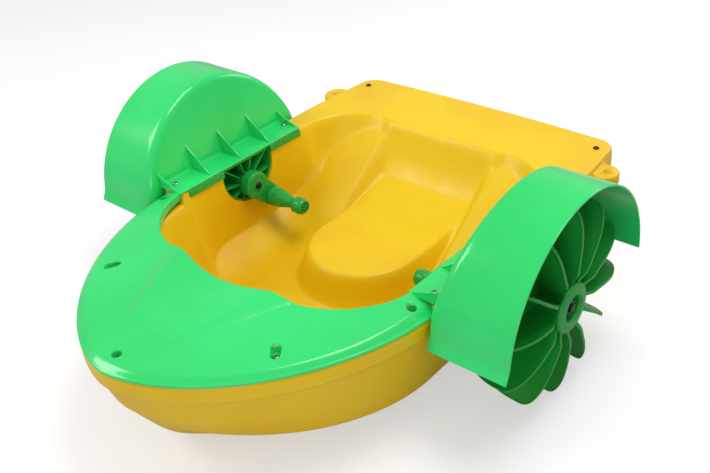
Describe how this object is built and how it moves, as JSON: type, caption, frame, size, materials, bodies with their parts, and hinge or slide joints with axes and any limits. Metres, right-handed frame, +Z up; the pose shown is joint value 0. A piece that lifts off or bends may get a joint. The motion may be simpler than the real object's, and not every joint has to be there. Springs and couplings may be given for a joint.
{
  "type": "hand-cranked paddle boat",
  "caption": "Ride-on paddle boat for a child: hollow moulded hull with seat and foot well, foredeck cover, and a guarded paddle wheel on each side turned by a hand crank.",
  "frame": {"origin": "middle of the footprint, on the surface that the keel rests on", "axes": "+Z up, bow towards -Y, stern towards +Y, port side (left) towards +X"},
  "size_m": [1.116, 1.2, 0.457],
  "materials": {
    "hull_plastic": "satin rotomoulded polyethylene",
    "cover_plastic": "glossy moulded plastic",
    "wheel_plastic": "semi-gloss moulded plastic, dark green",
    "nylon": "natural nylon",
    "steel": "stainless, satin",
    "rubber": "matte black rubber"
  },
  "bodies": {
    "boat": {"hull": "hull_plastic", "deck_cover": "cover_plastic", "drain_plug": "hull_plastic", "drain_seal": "rubber", "deck_screw_bow": "steel", "deck_screw_left": "steel", "deck_screw_right": "steel", "deck_screw_arm_left": "steel", "deck_screw_arm_right": "steel", "guard_screw_front_left": "steel", "guard_screw_rear_left": "steel", "stern_screw_left": "steel", "guard_screw_front_right": "steel", "guard_screw_rear_right": "steel", "stern_screw_right": "steel", "tow_eye_left": "hull_plastic", "wheel_guard_left": "cover_plastic", "bearing_bracket_left": "cover_plastic", "bearing_bush_left": "nylon", "tow_eye_right": "hull_plastic", "wheel_guard_right": "cover_plastic", "bearing_bracket_right": "cover_plastic", "bearing_bush_right": "nylon"},
    "drive_left": {"axle_left": "steel", "thrust_washer_left": "nylon", "paddle_wheel_left": "wheel_plastic", "wheel_nut_left": "steel", "crank_arm_left": "cover_plastic", "crank_bolt_left": "steel", "grip_pin_left": "steel"},
    "grip_left": {"crank_grip_left": "cover_plastic"},
    "drive_right": {"axle_right": "steel", "thrust_washer_right": "nylon", "paddle_wheel_right": "wheel_plastic", "wheel_nut_right": "steel", "crank_arm_right": "cover_plastic", "crank_bolt_right": "steel", "grip_pin_right": "steel"},
    "grip_right": {"crank_grip_right": "cover_plastic"}
  },
  "joints": [
    {"name": "paddle_spin_left", "type": "hinge", "parent": "boat", "child": "drive_left", "pos_m": [0.485, 0.066, 0.213], "axis": [1, 0, 0], "continuous": true},
    {"name": "grip_spin_left", "type": "hinge", "parent": "drive_left", "child": "grip_left", "pos_m": [0.236, 0.05681, 0.14764], "axis": [1, 0, 0], "continuous": true},
    {"name": "paddle_spin_right", "type": "hinge", "parent": "boat", "child": "drive_right", "pos_m": [-0.485, 0.066, 0.213], "axis": [1, 0, 0], "continuous": true},
    {"name": "grip_spin_right", "type": "hinge", "parent": "drive_right", "child": "grip_right", "pos_m": [-0.236, 0.11016, 0.16395], "axis": [1, 0, 0], "continuous": true}
  ]
}
